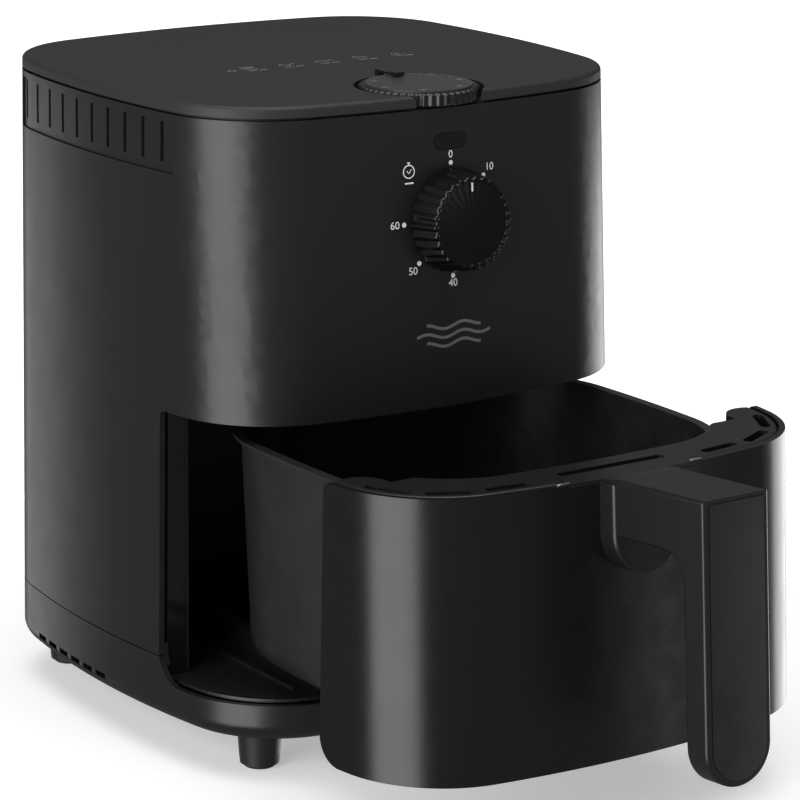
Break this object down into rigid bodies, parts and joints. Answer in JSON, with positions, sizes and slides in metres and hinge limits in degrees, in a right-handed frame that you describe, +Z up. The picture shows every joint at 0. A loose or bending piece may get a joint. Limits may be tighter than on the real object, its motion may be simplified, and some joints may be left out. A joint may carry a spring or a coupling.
{
  "type": "air fryer",
  "caption": "Compact drawer-type air fryer with a pull-out pan, perforated crisper plate, front timer knob and temperature dial in the lid.",
  "frame": {"origin": "on the table under the centre of the whole object, with the drawer pulled out as modelled", "axes": "+Z up, -Y towards the user (drawer and handle side), +X to the user's right"},
  "size_m": [0.2304, 0.4194, 0.2935],
  "materials": {
    "body_plastic": "satin moulded plastic, near-black grey",
    "lid_plastic": "fine matte texture, near-black grey",
    "gloss_black": "polished black plastic",
    "satin_black": "satin black plastic",
    "cap_grey": "grey printed cap",
    "foot_plastic": "matte black plastic",
    "foot_rubber": "matte black rubber",
    "nonstick": "dark non-stick coating",
    "silicone": "soft dark silicone",
    "cavity_sheet": "smooth black heat-resistant plastic",
    "galvanised": "galvanised sheet steel",
    "bright_sheet": "bright aluminised sheet",
    "sheath": "heat-darkened stainless steel",
    "steel": "bright steel",
    "laminations": "varnished steel laminations",
    "bronze": "sintered bronze and copper",
    "white_nylon": "natural nylon",
    "control_case": "grey control cases",
    "lamp_amber": "amber lamp"
  },
  "bodies": {
    "housing": {"outer_shell": "body_plastic", "top_cover": "lid_plastic", "base_tray": "body_plastic", "foot_post_1": "foot_plastic", "foot_pad_1": "foot_rubber", "foot_post_2": "foot_plastic", "foot_pad_2": "foot_rubber", "foot_post_3": "foot_plastic", "foot_pad_3": "foot_rubber", "foot_post_4": "foot_plastic", "foot_pad_4": "foot_rubber", "vent_panel_right": "body_plastic", "vent_panel_left": "body_plastic", "rear_grille": "body_plastic", "opening_bezel": "gloss_black", "cavity_liner": "cavity_sheet", "runner_left": "cavity_sheet", "runner_right": "cavity_sheet", "heat_shield": "galvanised", "heater_reflector": "bright_sheet", "heater_coil": "sheath", "coil_clips": "galvanised", "coil_guard": "sheath", "capillary_bulb": "bronze", "motor_bracket": "galvanised", "bearing_lower": "bronze", "bearing_upper": "bronze", "motor_stator": "laminations", "motor_frame": "galvanised", "timer_body": "white_nylon", "thermostat_body": "control_case", "index_tab": "satin_black", "indicator_lens": "gloss_black", "indicator_lamp": "lamp_amber", "drawer_switch": "white_nylon", "terminal_block": "white_nylon", "thermal_fuse": "control_case", "cord_gland": "foot_plastic"},
    "drawer": {"pan": "nonstick", "drawer_front": "gloss_black", "rim_frame": "satin_black", "handle_shell": "satin_black", "handle_insert": "gloss_black", "handle_boss": "satin_black", "handle_bridge": "satin_black", "handle_screws": "steel", "pan_bracket": "galvanised"},
    "crisper": {"crisper_plate": "nonstick", "plate_bumpers": "silicone"},
    "timer_control": {"timer_shaft": "steel", "timer_knob": "satin_black"},
    "temperature_control": {"thermostat_shaft": "steel", "temperature_dial": "satin_black", "dial_cap": "cap_grey"},
    "fan_rotor": {"motor_shaft": "steel", "rotor_core": "steel", "impeller_nut": "steel", "air_impeller": "bright_sheet", "cooling_fan": "white_nylon"},
    "switch_pin": {"switch_plunger": "white_nylon"}
  },
  "joints": [
    {"name": "drawer_slide", "type": "slide", "parent": "housing", "child": "drawer", "axis": [0, -1, 0], "range_m": [-0.123, 0.12]},
    {"name": "crisper_lift", "type": "slide", "parent": "drawer", "child": "crisper", "axis": [0, 0, 1], "range_m": [0, 0.07]},
    {"name": "timer_turn", "type": "hinge", "parent": "housing", "child": "timer_control", "pos_m": [0, -0.01133, 0.2365], "axis": [0, 0.9983, -0.0579], "range_deg": [0, 270]},
    {"name": "temperature_turn", "type": "hinge", "parent": "housing", "child": "temperature_control", "pos_m": [0, 0.01407, 0.2849], "axis": [0, 0, -1], "range_deg": [0, 240]},
    {"name": "fan_spin", "type": "hinge", "parent": "housing", "child": "fan_rotor", "pos_m": [0, 0.09257, 0.222], "axis": [0, 0, 1], "continuous": true},
    {"name": "switch_press", "type": "slide", "parent": "housing", "child": "switch_pin", "axis": [0, 0, 1], "range_m": [0, 0.0025], "stiffness_N_per_m": 150, "springref_m": -0.004}
  ]
}
